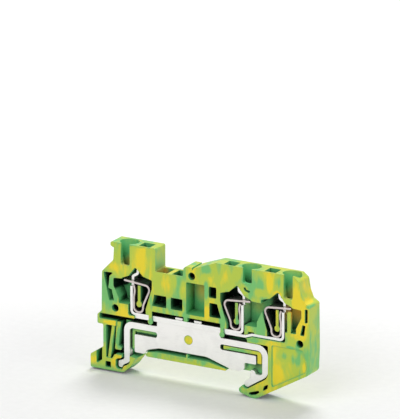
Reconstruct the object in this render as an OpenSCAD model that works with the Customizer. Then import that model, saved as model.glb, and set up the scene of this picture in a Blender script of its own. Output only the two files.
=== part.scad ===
// Earth terminal block for three conductors, open on its front side
// A moulded housing holds two stacked current bars, an earth foot and three cage springs
// X runs along the block, Y from the open front to the closed back, and Z up
// The origin is the middle of the seat, on the plane that the foot rests on

/* [Block] */
// Width of the block, from its open front to its closed back
block_w = 5.2; // [4.8:0.1:7.2]
// Thickness of the closed back wall
back_wall = 0.8; // [0.6:0.1:1.2]
// Height of the left tower above the seat
left_top = 28.8; // [27.8:0.2:33]
// Height of the right tower above the seat
right_top = 27.8; // [26.8:0.2:32]
// Width of the bridge channel between the towers
channel_w = 8; // [7:0.1:8.4]

/* [Seat and grips] */
// Distance between the two grips of the foot
grip_w = 35.2; // [35:0.1:36]
// Height of the gap in which the grips hold
grip_h = 1.15; // [1:0.05:1.5]
// Thickness of the web over the seat
web_t = 1.15; // [0.8:0.05:1.3]

/* [Clamps] */
// Contact leg of the left clamp, to the left of the origin
left_leg = 16.85; // [16.4:0.05:17.4]
// Contact leg of the middle clamp, to the right of the origin
middle_leg = 15.4; // [15.2:0.05:15.8]
// Distance between the contact legs of the twin clamps
clamp_pitch = 11.7; // [11.4:0.1:13]
// Thickness of the spring strip
spring_t = 0.5; // [0.3:0.05:0.55]
// Diameter of the wire holes
wire_d = 3; // [2.4:0.1:3.2]
// Diameter of the funnels at the top
funnel_d = 4.2; // [3.6:0.1:4.4]
// Length of the screwdriver shafts along the block
driver_l = 3.2; // [2.6:0.1:3.4]
// Width of the screwdriver shafts across the block
driver_w = 3.1; // [2.6:0.1:3.4]

/* [Current bars] */
// Thickness of each bar
bar_t = 0.7; // [0.5:0.05:0.9]
// Height of the lower bar's underside above the seat
bar_z = 9.3; // [9.2:0.1:10.4]
// Bend radius at the middle of the strip
bar_bend = 1; // [0.8:0.1:1.2]

/* [Earth foot] */
// Thickness of the plate
foot_t = 1.5; // [1:0.1:2]
// Width of the sprung arms
arm_w = 1.65; // [1.3:0.05:1.8]
// Width of the lugs that hold the bars
lug_w = 1.9; // [1.5:0.1:2.3]
// Distance between the lugs
lug_pitch = 5.5; // [4.5:0.1:6.5]
// Diameter of the dowel through the plate
dowel_d = 2.4; // [1.8:0.1:3]

/* [Alignment pegs] */
// Diameter of the holes in the front
peg_hole_d = 2; // [1.6:0.1:2.2]
// Length of the pegs on the back
peg_l = 0.9; // [0.6:0.1:1.5]

/* [Hidden] */

// Angle of one step along an arc, and how far a cut runs past a face
arc_step = 15;
over = 1;
$fn = 48;

// Clearances: between metal pieces, between metal and plastic, and of a peg in its hole
metal_gap = 0.05;
plastic_gap = 0.15;
peg_gap = 0.05;

// Depths from the open front
front_y = -block_w / 2;
back_y = block_w / 2;
deep = block_w - back_wall;
strip_setback = 0.4;
strip_w = deep - strip_setback - 2 * plastic_gap;
strip_y = front_y + strip_setback;
foot_setback = 0.7;
foot_y = front_y + foot_setback;
foot_depth = foot_setback + foot_t + metal_gap;
post_setback = 0.9;
panel_depth = 0.3;
shaft_setback = 0.4;
entry_y = front_y + shaft_setback + funnel_d / 2 - 0.1;

// Places along the block
left_x = -left_leg;
middle_x = middle_leg;
right_x = middle_leg + clamp_pitch;
grip_x = grip_w / 2;
channel_x = left_x + 7.2;
ridge_x = channel_x + channel_w;
tower_x = middle_x - 7.5;

// Heights
bar_top = bar_z + 2 * bar_t;
channel_z = bar_top + 12;
ridge_z = bar_top + 14.8;
arm_top = bar_z - 1.35;
arm_under = arm_top - arm_w;
slot_under = arm_under - 1.5;
arch_z = 2.2;
rib_z = bar_top + 1.3;
window_z = bar_top + 2.8;
window_top = window_z + 3.1;
lower_z = bar_z + bar_t / 2;
upper_z = bar_top - bar_t / 2;

// Cage spring in a clamp's own frame: the contact leg at 0, the loop on the plus side, 0 at the bars' top
loop_bottom = metal_gap + spring_t / 2;
loop_start = bar_t / 2 + metal_gap + spring_t / 2;
spring_path = [
    [loop_start, 7.3], [loop_start + 0.35, 5.9, 3], [loop_start, 4.2, 3], [loop_start, loop_bottom, 1.3],
    [3.35, loop_bottom, 1.2], [3.35, 2.2, 2.5], [5.75, 7.6, 1.2], [-2.2, 8.3]
];
window_rim = 0.55;
window_from = -1.75;
window_to = bar_t / 2 + 0.25;

// Contact leg in the same frame, from its hooked tip down to the bar
leg_path = [[1.5, 11.5], [1.35, 10.3, 0.6], [0, 9.5, 0.6], [0, -bar_t / 2, bar_bend]];
tongue_from = 7;
tongue_inset = window_rim + 0.2;

// Alignment holes, as x and z
peg_places = [[left_x - 4.6, bar_top + 0.5], [right_x + 5, bar_top - 0.4], [ridge_x + 2.6, bar_top + 12.5]];
dowel_place = [-0.4, (arm_top + arch_z) / 2 + 0.75];

// Wall of each clamp's wire space, measured from the contact leg
left_space = 5.1;
middle_space = 5.9;
right_space = 5.4;

// Foot of the slit in front of each clamp's funnel, above the bars
left_slit = 12.3;
middle_slit = 13.1;
right_slit = 10.9;

function flat(p) = [p[0], p[1]];
function radius(p) = is_undef(p[2]) ? 0 : p[2];
function unit(v) = v / norm(v);
function heading(v) = atan2(v[1], v[0]);
function left_of(h) = [-sin(h), cos(h)];
function turn(h0, h1) = let (d = h1 - h0) d > 180 ? d - 360 : d < -180 ? d + 360 : d;
function reverse(list) = [for (i = [len(list) - 1 : -1 : 0]) list[i]];

// Points and left-hand normals round a bend of radius r at p, coming from a and going on to b
function bend(a, p, b, r) =
    let (
        h0 = heading(p - a),
        sweep = turn(h0, heading(b - p)),
        side = sign(sweep),
        start = p - r * tan(abs(sweep) / 2) * unit(p - a),
        centre = start + side * r * left_of(h0),
        steps = ceil(abs(sweep) / arc_step)
    )
    r == 0 || steps == 0
        ? [[p, left_of(h0)]]
        : [
            for (k = [0 : steps])
                let (h = h0 + sweep * k / steps) [centre - side * r * left_of(h), left_of(h)]
        ];

// Closed outline through corners [x, z, radius]
function rounded(c) = let (n = len(c)) [
    for (i = [0 : n - 1])
        for (f = bend(flat(c[(i + n - 1) % n]), flat(c[i]), flat(c[(i + 1) % n]), radius(c[i]))) f[0]
];

// Outline of a strip of thickness t along an open path of corners [x, z, radius]
function strip(c, t) =
    let (
        n = len(c),
        first = [flat(c[0]), left_of(heading(flat(c[1]) - flat(c[0])))],
        last = [flat(c[n - 1]), left_of(heading(flat(c[n - 1]) - flat(c[n - 2])))],
        bends = [for (i = [1 : n - 2]) each bend(flat(c[i - 1]), flat(c[i]), flat(c[i + 1]), radius(c[i]))],
        frames = concat([first], bends, [last])
    )
    concat([for (f = frames) f[0] + f[1] * t / 2], reverse([for (f = frames) f[0] - f[1] * t / 2]));

// Points of a clamp's own frame placed at a contact leg, the loop on the given side
function clamp(x, side, c) = [for (p = c) [x + side * p[0], bar_top + p[1], radius(p)]];

// Bars: the upper one from the left to the middle clamp, the lower one stepped up to the right clamp
upper_path = concat(clamp(left_x, 1, leg_path), reverse(clamp(middle_x, -1, leg_path)));
step_from = middle_x + 0.8;
step_to = middle_x + 2.8;
lower_path = concat(
    [[left_x + 1, lower_z], [step_from, lower_z, bar_bend], [step_to, upper_z, bar_bend]],
    reverse(clamp(right_x, -1, leg_path))
);

// Extrudes an outline in x and z from depth y0 to depth y1
module slab(y0, y1) {
    translate([0, y1, 0]) rotate([90, 0, 0]) linear_extrude(height = y1 - y0) children();
}

// Cut from the open front to a depth
module cut(depth) {
    slab(front_y - over, front_y + depth) children();
}

// Rib or post from the back wall forward to a setback from the front
module rib(setback) {
    slab(front_y + setback, back_y - back_wall / 2) children();
}

module outline(c) {
    polygon(rounded(c));
}

// Rectangle from corner to corner with rounded corners
module window(x0, z0, x1, z1, r) {
    outline([[x0, z0, r], [x0, z1, r], [x1, z1, r], [x1, z0, r]]);
}

// Round hole or peg across the block between two depths
module round_y(place, d, y0, y1) {
    translate([place[0], y1, place[1]]) rotate([90, 0, 0]) cylinder(d = d, h = y1 - y0);
}

// Cage spring: one strip with a window in its tail, through which the contact leg passes
module cage_spring(x, side) {
    color("rosybrown") difference() {
        slab(strip_y, strip_y + strip_w) polygon(strip(clamp(x, side, spring_path), spring_t));
        slab(strip_y + window_rim, strip_y + strip_w - window_rim)
            polygon([for (p = clamp(x, side, [
                [window_from, 7.6], [window_from, 8.9], [window_to, 8.9], [window_to, 7.6]
            ])) flat(p)]);
    }
}

// Trims the top of a contact leg on both sides, to a tongue that passes the spring's window
module tongue_cut(x, side) {
    trim = [for (p = clamp(x, side, [[-1, tongue_from], [-1, 13], [3, 13], [3, tongue_from]])) flat(p)];
    slab(strip_y - over, strip_y + tongue_inset) polygon(trim);
    slab(strip_y + strip_w - tongue_inset, strip_y + strip_w + over) polygon(trim);
}

// Slots of the bars for the foot's lugs
module lug_slots() {
    slot_l = lug_w + 2 * metal_gap;
    for (s = [-1, 1])
        translate([dowel_place[0] + s * lug_pitch / 2 - slot_l / 2, foot_y - metal_gap, bar_z - over])
            cube([slot_l, foot_t + 2 * metal_gap, 2 * bar_t + 2 * over]);
}

module current_bar() {
    color("whitesmoke") difference() {
        slab(strip_y, strip_y + strip_w) polygon(strip(upper_path, bar_t));
        tongue_cut(left_x, 1);
        tongue_cut(middle_x, -1);
        lug_slots();
    }
}

module twin_bar() {
    color("gainsboro") difference() {
        slab(strip_y, strip_y + strip_w) polygon(strip(lower_path, bar_t));
        tongue_cut(right_x, -1);
        lug_slots();
    }
}

// Plate of the foot: body with an arched underside, two seat lobes and two arms that grip
body_left = dowel_place[0] - 9.15;
body_right = dowel_place[0] + 9.25;
left_arm_x = -grip_x - arm_w;
right_arm_x = grip_x + 3.4;
lobe_x = -grip_x + 1.45;
foot_outline = [
    [body_left, bar_z, 0.2], [body_right, bar_z, 0.2], [body_right, arm_top, 0.4],
    [right_arm_x + arm_w, arm_top, 3],
    [right_arm_x + arm_w, -0.1, 2.2], [grip_x - 1, -grip_h - 2.8, 0.7], [grip_x - 2.1, -grip_h - 1.9, 0.5],
    [grip_x, -grip_h, 0.2], [grip_x, 0.9, 0.4], [grip_x + 1.1, 0.8, 0.4], [grip_x + 1.6, -0.1, 0.4],
    [right_arm_x, -0.1, 0.7], [right_arm_x, arm_under, 1.5],
    [body_right, arm_under, 0.6], [body_right, slot_under, 0.6], [grip_x + 1.6, slot_under, 0.3],
    [grip_x + 1.6, 2.5, 0.3], [grip_x - 1.7, 2.5, 0.3], [grip_x - 1.7, 0.9, 0.5], [grip_x - 3, 0, 1.2],
    [grip_x - 5.4, 0, 3], [body_right - 3.9, arch_z, 4], [body_left + 0.6, arch_z, 4],
    [-grip_x + 5, 1.2, 1.5], [-grip_x + 4.3, 0, 0.5], [lobe_x, 0, 0.4],
    [lobe_x, slot_under, 0.3], [body_left, slot_under, 0.6],
    [body_left, arm_under, 0.6], [-grip_x, arm_under, 0.9],
    [-grip_x, -2.9, 1], [-grip_x - 1.8, -3.9, 0.5], [-grip_x - 2.3, -4.75, 0.3], [-grip_x - 3.3, -4.65, 0.4],
    [-grip_x - 3.3, -3, 0.4], [left_arm_x, -2.4, 0.6], [left_arm_x, arm_top, 2.3], [body_left, arm_top, 0.4]
];

module earth_foot() {
    color("white") {
        difference() {
            slab(foot_y, foot_y + foot_t) outline(foot_outline);
            round_y(dowel_place, dowel_d + 2 * peg_gap, front_y, back_y);
        }
        for (s = [-1, 1])
            foot_lug(dowel_place[0] + s * lug_pitch / 2);
    }
}

// Lug through both bars, with its end caulked over
module foot_lug(x) {
    head_w = lug_w + 0.3;
    slab(foot_y, foot_y + foot_t) union() {
        translate([x - lug_w / 2, bar_z - 0.5]) square([lug_w, 2 * bar_t + 0.6]);
        window(x - head_w / 2, bar_top + metal_gap, x + head_w / 2, bar_top + 0.6, 0.2);
    }
}

// Side of the housing, from the release lug round by the towers to the fixed nose
leg_x = -grip_x - 7.4;
lug_x = leg_x - 3.8;
foot_z = -5.8;
ledge_z = arm_top - 1.6;
housing_outline = [
    [lug_x, foot_z, 0.5], [lug_x, -2.2, 0.8], [leg_x, 0.2, 0.6], [leg_x, ledge_z, 0.3],
    [left_x - 9.85, ledge_z, 0.4], [left_x - 9.85, bar_top - 1.9, 0.6], [left_x - 8.6, bar_top - 0.8, 0.6],
    [left_x - 8.45, bar_top + 9.8, 0.6], [left_x - 5.1, bar_top + 13.3, 0.8],
    [left_x - 4.9, left_top - 1.5, 0.3], [left_x - 5.9, left_top - 1.1, 0.4], [left_x - 5.9, left_top, 0.4],
    [channel_x, left_top, 0.4], [channel_x, channel_z, 0.3], [ridge_x, channel_z, 0.3],
    [ridge_x + 0.2, ridge_z - 0.6, 0.3], [ridge_x + 0.8, ridge_z, 0.3],
    [ridge_x + 2.6, ridge_z, 0.1], [ridge_x + 2.8, ridge_z - 0.9, 0.1], [ridge_x + 3.1, ridge_z - 0.1, 0.1],
    [tower_x, right_top, 0.4], [right_x + 3.2, right_top, 0.6], [right_x + 4.75, right_top - 1.2, 0.8],
    [right_x + 5.3, bar_top + 12.9, 2], [right_x + 6.2, bar_top + 10.7, 0.8],
    [right_x + 7.75, bar_top + 9.8, 0.6],
    [right_x + 7.95, bar_top - 2, 4], [right_x + 7.75, 2.5, 1.4], [grip_x + 1.6, -6.5, 2.5],
    [grip_x - 3.7, -5, 0.8], [grip_x - 1.8, -grip_h - 2, 0.3], [grip_x, -grip_h, 0.2], [grip_x, 0],
    [-grip_x, 0], [-grip_x, -grip_h], [-grip_x + 2.3, -grip_h - 0.3, 0.2],
    [-grip_x + 0.3, -4.2, 1], [-grip_x - 1.5, foot_z, 1]
];

// Deep pocket round a clamp's spring, leg and wire space
module clamp_pocket(x, side, space) {
    cut(deep) {
        outline(clamp(x, side, [
            [-2.7, 8.9, 0.2], [-0.7, 9.7, 0.3], [1.3, 12.3, 0.4], [3.6, 10.2, 0.6], [6.2, 9.5, 0.3],
            [6.2, 7.4, 0.5], [4.4, 1.6, 0.5], [4.4, -bar_t, 0.2],
            [-0.8, -bar_t - plastic_gap, 0.6], [-0.8, 2, 0.2]
        ]));
        outline(clamp(x, side, [
            [0, 8.9], [-space, 8.5, 0.3], [-space, 6.5, 0.6],
            [1.5 - space, 3.4, 0.8], [1.5 - space, 2, 0.3], [0, 2]
        ]));
    }
}

// Post inside the loop of a spring, with a round end
module spring_post(x, side) {
    rib(post_setback) {
        outline(clamp(x, side, [[1.55, 2.4], [1.55, 7.3, 0.2], [2.35, 7.3, 0.2], [2.35, 2.4]]));
        translate(flat(clamp(x, side, [[1.95, 2.3]])[0])) circle(d = 1.6);
    }
}

// Openings above a clamp: funnel and wire hole, slit in front of the funnel, screwdriver shaft
module clamp_entries(x, side, top, slit) {
    wire_x = x - side * 1.6;
    funnel_h = 5.4;
    funnel_shift = 0.5;
    funnel_z = top - funnel_h;
    for (s = [-1, 1])
        translate([wire_x + s * funnel_shift, entry_y, funnel_z])
            cylinder(d1 = wire_d - 2 * funnel_shift, d2 = funnel_d, h = funnel_h);
    translate([wire_x - funnel_shift, entry_y, funnel_z]) rotate([90, 0, 90])
        linear_extrude(height = 2 * funnel_shift) polygon([
            [-wire_d / 2 + funnel_shift, 0], [wire_d / 2 - funnel_shift, 0],
            [funnel_d / 2, funnel_h], [-funnel_d / 2, funnel_h]
        ]);
    translate([wire_x, entry_y, bar_top + 7]) cylinder(d = wire_d, h = top - bar_top - 7);
    cut(block_w / 2) window(wire_x - 1.3, bar_top + slit, wire_x + 1.3, top + over, 0.6);
    translate([x + side * 3.8 - driver_l / 2, front_y + shaft_setback, bar_top + 8.6])
        cube([driver_l, driver_w, top - bar_top]);
}

// Short curved slit below the middle funnel, into the wire hole
module curved_slit() {
    slit_w = 0.6;
    cut(block_w / 2) polygon(strip([
        [middle_x + 0.8, bar_top + 12], [middle_x + 1.05, bar_top + 11.3, 0.6],
        [middle_x + 2.3, bar_top + 11]
    ], slit_w));
}

// Shafts under the bridge channel, each with a window in the front
module bridge_shafts() {
    for (span = [[channel_x + 0.1, channel_x + 3.3], [channel_x + 4.6, ridge_x - 0.3]])
        translate([span[0], front_y + shaft_setback, window_z])
            cube([span[1] - span[0], deep - shaft_setback, channel_z - window_z + over]);
    cut(deep) {
        outline([
            [channel_x - 1, window_z, 0.2], [channel_x - 0.3, window_top, 0.2],
            [channel_x + 3.2, window_top, 0.2], [channel_x + 3.2, window_z, 0.2]
        ]);
        window(channel_x + 4.5, window_z, ridge_x - 0.1, window_top, 0.2);
    }
}

// Coring pockets between the bridge channel and the middle clamp
module core_pockets() {
    cut(deep) {
        window(ridge_x + 1, rib_z + 0.9, ridge_x + 6.3, bar_top + 10.7, 0.3);
        window(tower_x - 2, bar_top + 7.7, tower_x + 0.2, bar_top + 10.6, 0.3);
        outline([
            [tower_x - 1.8, window_z - 0.2, 0.2], [tower_x - 1.8, bar_top + 6.3, 0.2],
            [tower_x + 0.4, bar_top + 6.3, 0.2], [tower_x + 1.6, window_z - 0.2, 0.2]
        ]);
        window(left_x + 5.7, bar_top - bar_t, ridge_x + 0.25, rib_z, 0.2);
        window(ridge_x + 1.3, bar_top - bar_t, middle_x - 5.3, rib_z, 0.2);
        window(middle_x + 1.8, bar_top - bar_t, middle_x + 3.7, bar_top + 0.5, 0.2);
    }
}

// Thin slots that keep the end walls as thin as the rest
module end_slots() {
    cut(deep) {
        outline([
            [left_x - 8, bar_top + 9.7, 0.2], [left_x - 5, bar_top + 9.9, 0.2],
            [left_x - 6.2, bar_top + 8.9, 0.3], [left_x - 6.6, bar_top + 5.6, 0.2],
            [left_x - 5.6, bar_top + 5.3, 0.2],
            [left_x - 4.9, bar_top + 2.4, 0.2], [left_x - 6.4, bar_top + 2.3, 0.2],
            [left_x - 7.9, bar_top + 8.8, 0.4]
        ]);
        outline([
            [right_x + 6.4, bar_top + 9, 0.2], [right_x + 7.2, bar_top + 9, 0.2],
            [right_x + 7.2, bar_top + 5.6, 0.2], [right_x + 6.4, bar_top + 5.2, 0.2]
        ]);
        outline([
            [right_x + 5.7, bar_top + 4.7, 0.2], [right_x + 6.6, bar_top + 4.7, 0.2],
            [right_x + 6.2, bar_top + 1.9, 0.2], [right_x + 5.1, bar_top + 1.9, 0.2]
        ]);
    }
}

// Room for the bars, open to the front, and the long gaps between them and the arms of the foot
module bar_room() {
    gap_from = arm_top - 0.2;
    gap_to = bar_z - plastic_gap / 2;
    cut(deep) {
        polygon(strip(upper_path, bar_t + 2 * plastic_gap));
        polygon(strip(lower_path, bar_t + 2 * plastic_gap));
        window(left_x - 9.3, gap_from, body_left, gap_to, 0.4);
        window(body_right, gap_from, step_from + 0.8, gap_to, 0.3);
    }
}

// Recess in which the foot lies, with its arms free to flex
module foot_room() {
    side_gap = 0.35;
    room_top = arm_top + side_gap;
    cut(foot_depth) {
        outline([
            [left_arm_x - side_gap, slot_under - 5.5, 0.5], [left_arm_x - side_gap, room_top, 0.5],
            [body_left - side_gap, room_top], [body_left - side_gap, bar_z + over],
            [body_right + side_gap, bar_z + over], [body_right + side_gap, room_top],
            [right_arm_x + arm_w + side_gap, room_top, 0.5],
            [right_arm_x + arm_w + side_gap, slot_under - 5.5, 0.5]
        ]);
        outline([
            [left_arm_x - side_gap, 1, 0.3], [-grip_x + side_gap, 1, 0.2], [-grip_x + side_gap, -3.1, 1],
            [-grip_x - 1.5, -4.2, 0.5], [-grip_x - 1.9, -5.1, 0.4], [-grip_x - 3.8, -5.1, 0.8],
            [-grip_x - 3.8, -2.4, 0.8], [left_arm_x - side_gap, -2, 0.4]
        ]);
        outline([
            [grip_x - side_gap, 1, 0.2], [right_arm_x + arm_w + side_gap, 1, 0.2],
            [right_arm_x + arm_w + side_gap, -0.3, 2.4], [grip_x - 1, -grip_h - 3.2, 0.9],
            [grip_x - 2.8, -grip_h - 1.9, 0.3], [grip_x - 0.4, -grip_h + over, 0.2]
        ]);
    }
    cut(deep) {
        window(body_left - 2.4, web_t, body_right + 1.2, arch_z + 0.5, 0.5);
        outline([
            [right_arm_x - 1.4, room_top], [right_arm_x + arm_w + side_gap, room_top, 0.5],
            [right_arm_x + arm_w + side_gap, arm_top - 2.8], [right_arm_x + arm_w - 0.9, arm_top - 0.9]
        ]);
    }
}

// Pockets of the left leg, its release lug and the loop round the arm
module leg_pockets() {
    cut(deep) {
        outline([
            [leg_x + 0.8, -2.5, 0.3], [leg_x + 0.8, ledge_z, 0.3], [leg_x + 3.7, ledge_z, 0.2],
            [leg_x + 3.7, arm_top, 0.2], [left_arm_x - 0.2, arm_top], [left_arm_x - 0.2, -1.2, 0.2],
            [leg_x + 3.4, -1.2, 0.6], [leg_x + 2.6, -2.5, 0.3]
        ]);
        outline([
            [lug_x + 1.75, foot_z + 1.1, 0.3], [lug_x + 1.75, over], [leg_x - 0.35, over],
            [leg_x - 0.35, foot_z + 2.5, 0.3]
        ]);
        window(leg_x + 0.6, foot_z + 0.7, leg_x + 2.2, foot_z + 2.3, 0.2);
    }
}

// Ribs inside the left leg: a slanted strut and a tongue beside the arm
module leg_ribs() {
    rib_top = ledge_z + 0.2;
    tongue_top = arm_top - 0.5;
    rib(0.2) outline([
        [leg_x + 2.5, rib_top], [leg_x + 3.3, rib_top], [leg_x + 2, -2.7], [leg_x + 1.2, -2.7]
    ]);
    rib(0.6) outline([
        [leg_x + 3.6, tongue_top], [leg_x + 4.9, tongue_top], [leg_x + 4.1, 1, 0.3], [leg_x + 5, 0.6, 0.2],
        [leg_x + 4.9, -0.1, 0.3], [leg_x + 3.1, -0.1, 0.3]
    ]);
}

// Slots of the fixed nose and the shallow panel above it
module nose_pockets() {
    cut(deep) {
        outline([
            [grip_x - 0.4, -5.3, 0.25], [grip_x + 0.4, -4.8, 0.3], [grip_x + 2.7, -4.05, 0.25],
            [grip_x + 3.1, -4.35, 0.2], [grip_x + 2, -5.25, 0.4], [grip_x + 0.5, -5.6, 0.3]
        ]);
        outline([
            [grip_x + 3.9, -4, 0.15], [grip_x + 4.3, -2.6, 0.2],
            [grip_x + 5.5, -1.9, 0.15], [grip_x + 5.3, -3.1, 0.2]
        ]);
    }
    cut(panel_depth) outline([
        [right_arm_x + arm_w + 1.4, bar_z - 0.6, 0.4], [right_x + 6.1, bar_z - 0.6, 0.8],
        [right_x + 7.1, 4.2, 0.8], [right_x + 6.6, 2.8, 0.8], [right_arm_x + arm_w + 1.4, -2.6, 0.4]
    ]);
}

// Fingers that hold the bars in front, at the ends of the ribs beside the middle pockets
module bar_fingers() {
    slab(front_y, strip_y - plastic_gap)
        for (x = [left_x + 5.7, middle_x - 5.7]) {
            translate([x - 0.45, bar_z - 0.2]) square([0.9, rib_z - bar_z + 0.6]);
            translate([x, bar_z - 0.2]) circle(d = 1.4);
        }
}

// Guide that stands in front of the right wire space, beside the contact leg
module wire_guide() {
    guide_t = 0.8;
    slab(front_y, front_y + guide_t) outline([
        [right_x + 1.4, bar_top + 1.5], [right_x + 1.4, bar_top + 7.5, 0.3],
        [right_x + 2.4, bar_top + 7.5, 0.3], [right_x + 2.4, bar_top + 1.5]
    ]);
}

// Ribs that fill the slots between the foot's arms and its lobes
module slot_ribs() {
    gap = 0.3;
    low_gap = 0.5;
    rib(0.9) outline([
        [body_right + 0.85, slot_under + gap, 0.2], [body_right + 0.85, arm_under - gap, 0.2],
        [right_arm_x - gap, arm_under - gap, 1], [right_arm_x - gap, 2.8, 0.2],
        [grip_x + 1.6 + gap, 2.8, 0.2], [grip_x + 1.6 + gap, slot_under + gap]
    ]);
    rib(1.6) outline([
        [-grip_x + gap, 0.6, 0.2], [-grip_x + gap, arm_under - gap, 0.5],
        [body_left - 0.6, arm_under - gap, 0.2], [body_left - 0.6, slot_under + low_gap, 0.2],
        [lobe_x - gap, slot_under + low_gap], [lobe_x - gap, 0.6, 0.2]
    ]);
}

// Web under the arch of the foot, which dips below the seat, with a small stop in the middle
module seat_web() {
    dip = 0.4;
    slab(front_y + 0.2, back_y - back_wall / 2) {
        outline([
            [-grip_x + 5.3, -dip, 0.3], [-grip_x + 4.85, 0.1, 0.3], [-grip_x + 5.5, web_t - 0.4, 0.4],
            [body_left - 0.3, web_t, 1], [body_right - 3.4, web_t, 2], [grip_x - 6.5, -0.05, 0.2],
            [grip_x - 7, -dip, 0.2]
        ]);
        translate([dowel_place[0] - 0.4, web_t - 0.2]) square([0.5, arch_z - web_t]);
    }
}

module housing() {
    color("yellowgreen") difference() {
        union() {
            difference() {
                slab(front_y, back_y) outline(housing_outline);
                clamp_pocket(left_x, 1, left_space);
                clamp_pocket(middle_x, -1, middle_space);
                clamp_pocket(right_x, -1, right_space);
                clamp_entries(left_x, 1, left_top, left_slit);
                clamp_entries(middle_x, -1, right_top, middle_slit);
                clamp_entries(right_x, -1, right_top, right_slit);
                bridge_shafts();
                core_pockets();
                end_slots();
                bar_room();
                foot_room();
                leg_pockets();
                nose_pockets();
                curved_slit();
            }
            spring_post(left_x, 1);
            spring_post(middle_x, -1);
            spring_post(right_x, -1);
            leg_ribs();
            slot_ribs();
            bar_fingers();
            wire_guide();
            seat_web();
            round_y(dowel_place, dowel_d, foot_y, back_y - back_wall / 2);
            for (p = peg_places)
                round_y(p, peg_hole_d - 2 * peg_gap, back_y - back_wall / 2, back_y + peg_l);
        }
        for (p = peg_places)
            round_y(p, peg_hole_d, front_y - over, back_y - back_wall - 1);
    }
}

module left_spring() {
    cage_spring(left_x, 1);
}

module middle_spring() {
    cage_spring(middle_x, -1);
}

module right_spring() {
    cage_spring(right_x, -1);
}

housing();
current_bar();
twin_bar();
earth_foot();
left_spring();
middle_spring();
right_spring();
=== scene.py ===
"""Looks of the earth terminal block: marbled plastic, bright tinned metal and spring steel in a studio."""

import math

import bpy
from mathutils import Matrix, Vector


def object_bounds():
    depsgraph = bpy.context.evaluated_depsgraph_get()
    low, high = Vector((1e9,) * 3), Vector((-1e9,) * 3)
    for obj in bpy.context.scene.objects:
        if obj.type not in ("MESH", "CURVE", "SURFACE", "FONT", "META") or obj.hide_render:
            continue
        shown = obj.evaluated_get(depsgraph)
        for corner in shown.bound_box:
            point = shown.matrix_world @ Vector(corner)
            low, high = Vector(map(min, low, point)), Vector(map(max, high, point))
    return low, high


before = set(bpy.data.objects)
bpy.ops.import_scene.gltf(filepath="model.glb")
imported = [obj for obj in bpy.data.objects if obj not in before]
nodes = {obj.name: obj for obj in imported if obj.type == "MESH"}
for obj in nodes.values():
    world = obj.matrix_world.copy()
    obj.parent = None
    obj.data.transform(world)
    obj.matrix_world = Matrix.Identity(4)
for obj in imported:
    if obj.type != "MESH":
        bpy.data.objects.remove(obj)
cad_low, cad_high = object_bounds()
middle = (cad_low + cad_high) / 2
MM = 0.001

# Frame of the photograph in pixels, and where the middle of the open front lies in it
FRAME_W, FRAME_H = 400, 419
FRONT_PIXEL = (199.1, 322.7)
PIXELS_PER_MM = 3.955

# Camera: where it stands around the block, distances in metres, and width of the sensor in mm
CAMERA_AZIMUTH = math.radians(29.5)
CAMERA_ELEVATION = math.radians(17.3)
CAMERA_DISTANCE = 1.5
CLIP_START = 0.1
CLIP_END = 10
SENSOR = 36

# Colours, linear
GREEN = (0.20, 0.60, 0.17, 1)
LIME = (0.54, 0.69, 0.065, 1)
YELLOW = (0.95, 0.77, 0.02, 1)
# Painted highlight colour that the plastic's edges turn towards
EDGE_HIGHLIGHT_GREEN = (0.60, 0.86, 0.36, 1)
# Painted shade in the recesses, green or amber, in place of the marbling
RECESS_SHADE_GREEN = (0.15, 0.58, 0.22, 1)
RECESS_SHADE_AMBER = (1.0, 0.64, 0.09, 1)
# Painted shade in the deep pockets, dark or amber
POCKET_SHADE_DARK = (0.003, 0.014, 0.008, 1)
POCKET_SHADE_AMBER = (1.0, 0.56, 0.07, 1)
TIN = (0.97, 0.96, 0.935, 1)
TIN_DULL = (0.88, 0.87, 0.85, 1)
STEEL = (0.69, 0.61, 0.585, 1)
STEEL_DULL = (0.52, 0.46, 0.45, 1)
# Painted shade on metal that lies deep in the block
METAL_SHADE_DARK = (0.03, 0.028, 0.032, 1)
PAPER = (0.9, 0.9, 0.9, 1)
PAPER_DULL = (0.88, 0.88, 0.88, 1)
GLOW_NEAR = (0.06, 0.06, 0.06, 1)
GLOW_ROUND = (0.4, 0.4, 0.4, 1)
WHITE = (1, 1, 1, 1)
PALE = (0.95, 0.95, 0.95, 1)
BLACK = (0, 0, 0, 1)

# Noises: size of their features in metres, stretch along each axis, detail and distortion
FLOW = dict(size=7.0 * MM, stretch=(1.0, 1.2, 2.4), detail=2.5, distortion=0.7)
FINE = dict(size=2.2 * MM, stretch=(0.6, 0.8, 2.2), distortion=0.4)
GRAIN = dict(size=0.16 * MM, detail=1.0)
MARKS = dict(size=0.12 * MM, detail=3.0)
TARNISH = dict(size=3.0 * MM, distortion=0.5)
FIBRE = dict(size=2.0 * MM)

# Marbling of the plastic: share of the flow in it, and the colours along it
FLOW_SHARE = 0.74
MARBLING = [(0.38, GREEN), (0.475, LIME), (0.54, LIME), (0.64, YELLOW)]

# Depths in the block between which the gathered colours and painted sheen fade into the plain marbling
GATHERED_AND_SHEEN_FADE = (-0.5 * MM, 1.5 * MM)

# How much greener the walls are that face the right end
END_GREENER = 0.07

# Edges: radii that soften them, how steeply those of the plastic turn pale with a painted highlight and how
# pale, and samples
PLASTIC_EDGE = 0.22 * MM
METAL_EDGE = 0.12 * MM
EDGE_GAIN = 2.4
EDGE_HIGHLIGHT_SHARE = 0.55
EDGE_SAMPLES = 6

# Openness: how far it looks in the piece alone and among all pieces, and samples
OWN_REACH = 9.0 * MM
NEAR_REACH = 4.0 * MM
FAR_REACH = 7.0 * MM
OPENNESS_SAMPLES = 12

# How much painted shade a place gets in a recess, in a deep pocket and on metal hidden in the block, by its
# openness
RECESS_SHADE_STOPS = [(0.50, WHITE), (0.86, BLACK)]
DEEP_SHADE_STOPS = [(0.05, WHITE), (0.16, PALE), (0.27, BLACK)]
HIDDEN_SHADE_STOPS = [(0.10, WHITE), (0.42, BLACK)]

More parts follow.
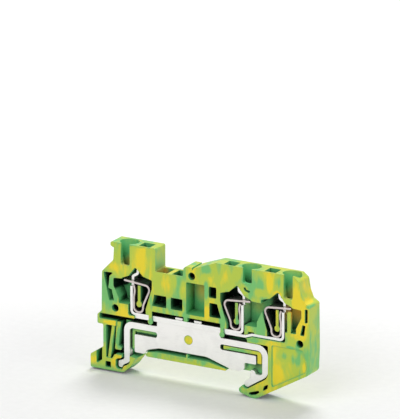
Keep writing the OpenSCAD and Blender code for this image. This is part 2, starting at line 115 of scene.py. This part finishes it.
# Finish of the plastic: shine over a range of openness, roughness over the fine noise, and grain
SHINE_OPENNESS = (0.3, 0.8)
SHINE = (0.05, 0.5)
PLASTIC_ROUGHNESS = (0.36, 0.50)
PLASTIC_IOR = 1.5
GRAIN_STRENGTH = 0.05
GRAIN_HEIGHT = 0.04 * MM

# Metal: stretch of its drawing marks along each axis, their share in its tone, and their height
BENT_STRIP = (8, 1, 8)
FLAT_STRIP = (12, 1, 1)
MARKS_SHARE = 0.4
MARKS_STRENGTH = 0.06
MARKS_HEIGHT = 0.02 * MM

# Tones at which a metal is dull and bright, and its roughness over all tones
TONE_DULL = 0.30
TONE_BRIGHT = 0.52
TIN_ROUGHNESS = (0.34, 0.52)
PLATE_ROUGHNESS = (0.37, 0.55)
STEEL_ROUGHNESS = (0.28, 0.46)

# Floor: its size in metres, its fibres, and its glow by the distance from its middle in metres
FLOOR_SIZE = 6
FIBRES = [(0.35, PAPER_DULL), (0.65, PAPER)]
GLOW = [(0.05, GLOW_NEAR), (0.2, GLOW_ROUND), (1.0, WHITE)]

# Surroundings: as light, as the camera sees them, and the share of that which metal mirrors
WORLD_LIGHT = 0.33
WORLD_SEEN = 1.0
MIRRORED = 0.70

# Patches where one colour of the marbling gathers, a few of them painted sheen on the tops and a painted
# highlight on an edge, as x and z in mm, reach in mm and amount (plus is yellow, minus green)
GATHERED_AND_SHEEN = [
    # Left clamp and its tower
    ((-13.6, 25.5), (2.6, 6.0), 0.20),
    # Green along the top: partly marbling, partly painted sheen
    ((-16.0, 29.0), (9.0, 1.0), -0.16),
    ((-22.4, 22.0), (3.5, 3.0), 0.16),
    ((-24.0, 14.6), (4.0, 6.0), -0.18),
    ((-21.0, 15.0), (1.4, 4.0), -0.20),
    ((-19.0, 10.4), (2.2, 3.4), 0.14),
    ((-10.8, 15.0), (1.2, 3.5), -0.22),
    ((-11.0, 9.2), (1.2, 1.6), -0.20),
    # Left leg and release lug
    ((-23.2, 7.0), (3.6, 1.0), 0.24),
    ((-24.6, 3.0), (1.3, 5.0), -0.20),
    ((-20.6, 3.6), (1.2, 6.0), -0.30),
    ((-20.5, -3.6), (3.6, 3.2), 0.32),
    ((-28.0, -3.8), (1.8, 2.4), 0.18),
    # Middle
    ((-7.0, 19.8), (3.6, 4.0), 0.05),
    ((-5.8, 15.0), (1.4, 3.0), -0.16),
    ((-1.3, 19.5), (1.8, 4.5), 0.24),
    ((-1.2, 12.2), (1.2, 2.0), -0.15),
    ((1.0, 23.6), (2.8, 3.6), 0.20),
    ((5.5, 25.6), (2.4, 2.4), -0.26),
    ((5.1, 20.4), (1.2, 5.0), -0.28),
    ((5.4, 14.0), (1.2, 2.6), 0.24),
    ((-0.4, 5.8), (2.5, 2.5), 0.22),
    ((0.0, 1.0), (14.0, 2.0), -0.08),
    ((9.8, 12.0), (1.8, 7.0), -0.24),
    # Right clamps and their tower
    ((12.0, 25.0), (5.0, 5.0), 0.12),
    # Green along the top: partly marbling, partly painted sheen
    ((20.0, 28.4), (13.0, 1.0), -0.14),
    ((15.6, 22.0), (2.4, 2.6), 0.16),
    ((13.8, 13.2), (1.0, 2.2), -0.25),
    ((20.8, 22.0), (3.0, 1.8), 0.18),
    ((23.3, 25.4), (1.2, 4.5), 0.22),
    ((25.8, 25.6), (1.6, 2.6), -0.12),
    ((25.8, 22.4), (1.8, 1.4), 0.20),
    ((21.2, 12.6), (3.0, 6.0), -0.28),
    ((32.6, 18.0), (5.0, 10.0), 0.22),
    ((30.6, 12.6), (4.0, 3.6), 0.16),
    ((33.2, 23.8), (1.4, 3.2), -0.34),
    ((34.4, 20.4), (1.2, 0.8), -0.30),
    # Right foot and panel
    ((9.8, 8.6), (1.6, 1.6), -0.25),
    ((12.0, 5.0), (8.0, 1.6), -0.28),
    ((19.0, 9.0), (3.5, 1.3), -0.18),
    ((23.6, 3.2), (0.9, 6.5), -0.22),
    # Painted highlight along the panel's upper edge
    ((29.4, 8.9), (1.7, 0.7), -0.26),
    ((27.2, 6.4), (2.8, 2.0), -0.16),
    ((31.0, 5.6), (2.6, 2.2), -0.14),
    ((33.4, 4.4), (1.0, 3.4), 0.20),
    ((25.6, 0.8), (2.6, 3.4), 0.26),
]

# Patches where the painted shade in the recesses turns amber, in the same form, up to an amount of 1
AMBER_SHADE_PATCHES = [
    ((29.6, 17.6), (4.6, 5.0), 1.0),
    ((28.2, 22.2), (1.8, 3.0), 0.6),
    ((17.8, 17.0), (3.0, 3.0), 0.25),
    ((1.6, 18.8), (3.0, 4.8), 0.7),
    ((-9.2, 22.0), (1.8, 2.4), 0.8),
    ((-18.8, 23.2), (1.8, 2.6), 0.7),
]

# Patches where the painted shade in the recesses is darker (plus) or lighter (minus), in the same form
SHADED = [
    ((-21.2, 17.7), (2.2, 1.9), 4.0),
    ((-12.0, 19.0), (2.4, 3.0), 1.6),
    ((-8.1, 15.1), (3.2, 3.2), 1.6),
    ((-3.6, 15.1), (3.0, 3.2), 1.6),
    ((7.2, 19.8), (2.2, 2.8), 1.6),
    ((7.6, 15.0), (2.8, 3.4), 1.6),
    ((10.4, 17.0), (1.6, 5.5), 1.6),
    ((11.2, 18.8), (3.0, 3.2), 1.6),
    ((23.4, 18.9), (2.6, 2.8), 1.6),
    ((22.4, 14.0), (1.6, 5.0), 1.6),
    ((-23.6, 14.4), (1.8, 2.8), -0.8),
    ((-25.4, 2.4), (2.4, 6.0), -0.9),
    ((28.2, 22.0), (1.8, 3.0), -0.8),
    ((-18.8, 23.2), (1.8, 2.6), -0.8),
    ((0.0, 1.4), (16.0, 2.4), -1.4),
    ((13.2, 8.4), (5.0, 1.8), -1.2),
    ((9.2, 5.6), (1.4, 1.4), -1.0),
    ((18.8, 2.0), (2.4, 2.0), 0.8),
]


class Nodes:
    """A node tree and short ways to add to it."""

    def __init__(self, tree):
        self.tree = tree

    def add(self, kind, inputs=(), **settings):
        """A new node with its settings and inputs."""
        made = self.tree.nodes.new(kind)
        for key, value in settings.items():
            setattr(made, key, value)
        self.feed(made, inputs)
        return made

    def feed(self, made, inputs):
        """Links each input of a node to another node's output, or sets it to a value."""
        for key, value in dict(inputs).items():
            if isinstance(value, bpy.types.NodeSocket):
                self.tree.links.new(value, made.inputs[key])
            else:
                made.inputs[key].default_value = value

    def math(self, operation, first, second, clamp=False):
        made = self.add("ShaderNodeMath", {0: first, 1: second}, operation=operation, use_clamp=clamp)
        return made.outputs[0]

    def vector(self, operation, first, second=(0, 0, 0)):
        return self.add("ShaderNodeVectorMath", {0: first, 1: second}, operation=operation).outputs

    def seen_as(self, lit, seen):
        """Gives soft light one shader and the camera another, of which metal and glass show a share."""
        path = self.add("ShaderNodeLightPath").outputs
        mirrored = self.math("MAXIMUM", path["Is Glossy Ray"], path["Is Transmission Ray"])
        share = self.math("MAXIMUM", self.math("MULTIPLY", mirrored, MIRRORED), path["Is Camera Ray"])
        return self.add("ShaderNodeMixShader", {0: share, 1: lit, 2: seen}).outputs[0]


class Surface(Nodes):
    """A material and the patterns that its nodes make."""

    def __init__(self, name):
        self.material = bpy.data.materials.new(name)
        self.material.use_nodes = True
        super().__init__(self.material.node_tree)
        self.shader = self.tree.nodes["Principled BSDF"]
        self.place = self.add("ShaderNodeTexCoord").outputs["Object"]

    def noise(self, size, stretch=(1, 1, 1), detail=2.0, distortion=0.0):
        """Noise with features of about one size, in metres, drawn out by a stretch along each axis."""
        scale = [1 / factor for factor in stretch]
        placed = self.add("ShaderNodeMapping", {"Vector": self.place, "Scale": scale})
        return self.add("ShaderNodeTexNoise", {
            "Vector": placed.outputs[0], "Scale": 1 / size, "Detail": detail, "Distortion": distortion,
        }).outputs["Fac"]

    def blend(self, first, second, share):
        """A share of the first value and the rest of the second."""
        rest = self.math("MULTIPLY", second, 1 - share)
        return self.math("ADD", self.math("MULTIPLY", first, share), rest)

    def span(self, value, limits, results, **settings):
        """Goes from the first result to the last while a value goes from its first limit to its last."""
        return self.add("ShaderNodeMapRange", {
            "Value": value, "From Min": limits[0], "From Max": limits[1],
            "To Min": results[0], "To Max": results[1],
        }, **settings).outputs[0]

    def ramp(self, value, stops):
        """Colour for a value, between stops in rising order."""
        made = self.add("ShaderNodeValToRGB", {"Fac": value})
        elements = made.color_ramp.elements
        while len(elements) < len(stops):
            elements.new(0.5)
        for element, (position, colour) in zip(elements, stops):
            element.position = position
            element.color = colour
        return made.outputs["Color"]

    def mix(self, factor, first, second):
        return self.add("ShaderNodeMixRGB", {"Fac": factor, "Color1": first, "Color2": second}).outputs[0]

    def along(self, axis, vector):
        return self.add("ShaderNodeSeparateXYZ", {0: vector}).outputs[axis]

    def openness(self, distance, alone=False):
        """1 on an open face, towards 0 in a deep pocket of the piece alone or of all pieces together."""
        return self.add("ShaderNodeAmbientOcclusion", {
            "Distance": distance,
        }, samples=OPENNESS_SAMPLES, only_local=alone).outputs["AO"]

    def rounded_normal(self, radius):
        return self.add("ShaderNodeBevel", {"Radius": radius}, samples=EDGE_SAMPLES).outputs["Normal"]

    def edge(self, rounded):
        """Rises from 0 on flat faces to 1 along the edges that a rounded normal softens."""
        flat = self.add("ShaderNodeNewGeometry").outputs["True Normal"]
        turned = self.math("SUBTRACT", 1.0, self.vector("DOT_PRODUCT", rounded, flat)["Value"])
        return self.math("MULTIPLY", turned, EDGE_GAIN, clamp=True)

    def patch(self, centre, reach, amount):
        """A soft oval around a place in x and z on the block, in mm: the amount in its middle, 0 outside."""
        offset = self.vector("SUBTRACT", self.place, (centre[0] * MM, 0, centre[1] * MM))["Vector"]
        scaled = self.vector("MULTIPLY", offset, (1 / (reach[0] * MM), 0, 1 / (reach[1] * MM)))["Vector"]
        far = self.vector("LENGTH", scaled)["Value"]
        return self.span(far, (0, 1), (amount, 0), interpolation_type="SMOOTHSTEP")

    def patches(self, places):
        """Sum of the patches in a list."""
        total = 0.0
        for centre, reach, amount in places:
            total = self.math("ADD", total, self.patch(centre, reach, amount))
        return total

    def bump(self, height, strength, distance, normal):
        return self.add("ShaderNodeBump", {
            "Height": height, "Strength": strength, "Distance": distance, "Normal": normal,
        }).outputs["Normal"]


def marbled_plastic():
    """Green and yellow clouds with painted highlights on the edges, painted green or amber shade in the
    recesses and painted dark shade in the pockets.
    """
    look = Surface("marbled_plastic")
    fine = look.noise(**FINE)
    cloud = look.blend(look.noise(**FLOW), fine, FLOW_SHARE)
    front = look.span(look.along("Y", look.place), GATHERED_AND_SHEEN_FADE, (1, 0))
    # Marbling patches, a few of them painted sheen and highlight, strongest at the front
    cloud = look.math("ADD", cloud, look.math("MULTIPLY", look.patches(GATHERED_AND_SHEEN), front))
    facing = look.add("ShaderNodeNewGeometry").outputs["Normal"]
    to_right = look.math("MAXIMUM", look.along("X", facing), 0.0)
    cloud = look.math("SUBTRACT", cloud, look.math("MULTIPLY", to_right, END_GREENER))
    colour = look.ramp(cloud, MARBLING)

    rounded = look.rounded_normal(PLASTIC_EDGE)
    # Painted highlight: the plastic's edges turn pale green
    colour = look.mix(look.math("MULTIPLY", look.edge(rounded), EDGE_HIGHLIGHT_SHARE), colour, EDGE_HIGHLIGHT_GREEN)

    # Painted shade in the recesses: green, or amber in the amber patches, in place of the marbling
    amber_shade = look.patches(AMBER_SHADE_PATCHES)
    open_near = look.math("MINIMUM", look.openness(OWN_REACH, alone=True), look.openness(NEAR_REACH))
    recess_shade = look.ramp(open_near, RECESS_SHADE_STOPS)
    colour = look.mix(recess_shade, colour, look.mix(amber_shade, RECESS_SHADE_GREEN, RECESS_SHADE_AMBER))
    # Painted shade in the deep pockets: near black, or amber in the amber patches
    open_far = look.openness(FAR_REACH)
    shaded = look.math("MULTIPLY", look.patches(SHADED), recess_shade)
    pocket_shade = look.math("ADD", look.ramp(open_far, DEEP_SHADE_STOPS), shaded, clamp=True)
    colour = look.mix(pocket_shade, colour, look.mix(amber_shade, POCKET_SHADE_DARK, POCKET_SHADE_AMBER))

    look.feed(look.shader, {
        "Base Color": colour,
        "Roughness": look.span(fine, (0, 1), PLASTIC_ROUGHNESS),
        "IOR": PLASTIC_IOR,
        "Specular IOR Level": look.span(open_far, SHINE_OPENNESS, SHINE),
        "Normal": look.bump(look.noise(**GRAIN), GRAIN_STRENGTH, GRAIN_HEIGHT, rounded),
    })
    return look.material


def bright_metal(name, bright, dull, stretch, roughness):
    """Bright strip with fine drawing marks and dull clouds, with painted dark shade where it lies deep in
    the block.
    """
    look = Surface(name)
    marks = look.noise(stretch=stretch, **MARKS)
    tone = look.blend(marks, look.noise(**TARNISH), MARKS_SHARE)
    colour = look.ramp(tone, [(TONE_DULL, dull), (TONE_BRIGHT, bright)])
    # Painted shade: the metal turns dark where the block closes round it
    metal_shade = look.ramp(look.openness(NEAR_REACH), HIDDEN_SHADE_STOPS)
    look.feed(look.shader, {
        "Base Color": look.mix(metal_shade, colour, METAL_SHADE_DARK),
        "Metallic": 1.0,
        "Roughness": look.span(tone, (0, 1), roughness),
        "Normal": look.bump(marks, MARKS_STRENGTH, MARKS_HEIGHT, look.rounded_normal(METAL_EDGE)),
    })
    return look.material


def stage_floor():
    """Pale paper floor under the block, which the camera sees whiter than it is lit, most of all far off."""
    bpy.ops.mesh.primitive_plane_add(size=FLOOR_SIZE, location=(0, 0, cad_low.z))
    floor = bpy.context.object
    floor.name = "floor"
    look = Surface("floor_paper")
    look.tree.nodes.remove(look.shader)
    fibres = look.ramp(look.noise(**FIBRE), FIBRES)
    paper = look.add("ShaderNodeBsdfDiffuse", {"Color": fibres}).outputs[0]
    far = look.vector("LENGTH", look.place)["Value"]
    glow = look.add("ShaderNodeEmission", {"Color": look.ramp(far, GLOW)}).outputs[0]
    whiter = look.add("ShaderNodeAddShader", {0: paper, 1: glow}).outputs[0]
    look.feed(look.tree.nodes["Material Output"], {"Surface": look.seen_as(paper, whiter)})
    floor.data.materials.append(look.material)


def stage_world():
    """Soft surroundings, which the camera sees as plain white and metal mirrors a little dimmer."""
    world = bpy.data.worlds.new("studio")
    bpy.context.scene.world = world
    world.use_nodes = True
    world.node_tree.nodes.clear()
    sky = Nodes(world.node_tree)
    light = sky.add("ShaderNodeBackground", {"Color": WHITE, "Strength": WORLD_LIGHT}).outputs[0]
    white = sky.add("ShaderNodeBackground", {"Color": WHITE, "Strength": WORLD_SEEN}).outputs[0]
    sky.add("ShaderNodeOutputWorld", {"Surface": sky.seen_as(light, white)})


def soft_box(name, direction, distance, size, power):
    """Square lamp that looks at the middle of the block from a direction, in metres and watts."""
    lamp = bpy.data.lights.new(name, "AREA")
    lamp.size = size
    lamp.energy = power
    made = bpy.data.objects.new(name, lamp)
    bpy.context.scene.collection.objects.link(made)
    away = Vector(direction).normalized()
    made.location = middle + away * distance
    made.rotation_mode = "QUATERNION"
    made.rotation_quaternion = (-away).to_track_quat("-Z", "Y")


def photo_camera():
    """Long lens at the photograph's angle, with the block low in the frame."""
    back = Vector((
        math.sin(CAMERA_AZIMUTH) * math.cos(CAMERA_ELEVATION),
        -math.cos(CAMERA_AZIMUTH) * math.cos(CAMERA_ELEVATION),
        math.sin(CAMERA_ELEVATION),
    ))
    turn = (-back).to_track_quat("-Z", "Y")
    front = Vector((middle.x, cad_low.y, middle.z))
    across = (FRAME_W / 2 - FRONT_PIXEL[0]) / PIXELS_PER_MM * MM
    up = (FRONT_PIXEL[1] - FRAME_H / 2) / PIXELS_PER_MM * MM
    aim = front + turn @ Vector((across, up, 0))
    data = bpy.data.cameras.new("photo_camera")
    data.sensor_width = SENSOR
    data.lens = SENSOR * CAMERA_DISTANCE / MM * PIXELS_PER_MM / FRAME_H
    data.clip_start = CLIP_START
    data.clip_end = CLIP_END
    camera = bpy.data.objects.new("photo_camera", data)
    bpy.context.scene.collection.objects.link(camera)
    camera.location = aim + back * CAMERA_DISTANCE
    camera.rotation_mode = "QUATERNION"
    camera.rotation_quaternion = turn
    bpy.context.scene.camera = camera


plastic = marbled_plastic()
tin = bright_metal("tinned_bar", TIN, TIN_DULL, BENT_STRIP, TIN_ROUGHNESS)
plate = bright_metal("plated_foot", TIN, TIN_DULL, FLAT_STRIP, PLATE_ROUGHNESS)
steel = bright_metal("spring_steel", STEEL, STEEL_DULL, BENT_STRIP, STEEL_ROUGHNESS)
finishes = {
    "housing": plastic, "current_bar": tin, "twin_bar": tin, "earth_foot": plate,
    "left_spring": steel, "middle_spring": steel, "right_spring": steel,
}
for name, material in finishes.items():
    nodes[name].data.materials.clear()
    nodes[name].data.materials.append(material)

stage_floor()
stage_world()
soft_box("top", direction=(-0.1, 0.5, 1.0), distance=0.5, size=0.2, power=1.25)
soft_box("front", direction=(0.0, -1.0, 0.9), distance=0.8, size=0.5, power=1.9)
soft_box("side", direction=(1.0, -0.2, 0.5), distance=0.8, size=0.5, power=1.15)
photo_camera()
bpy.context.scene.view_settings.view_transform = "Standard"
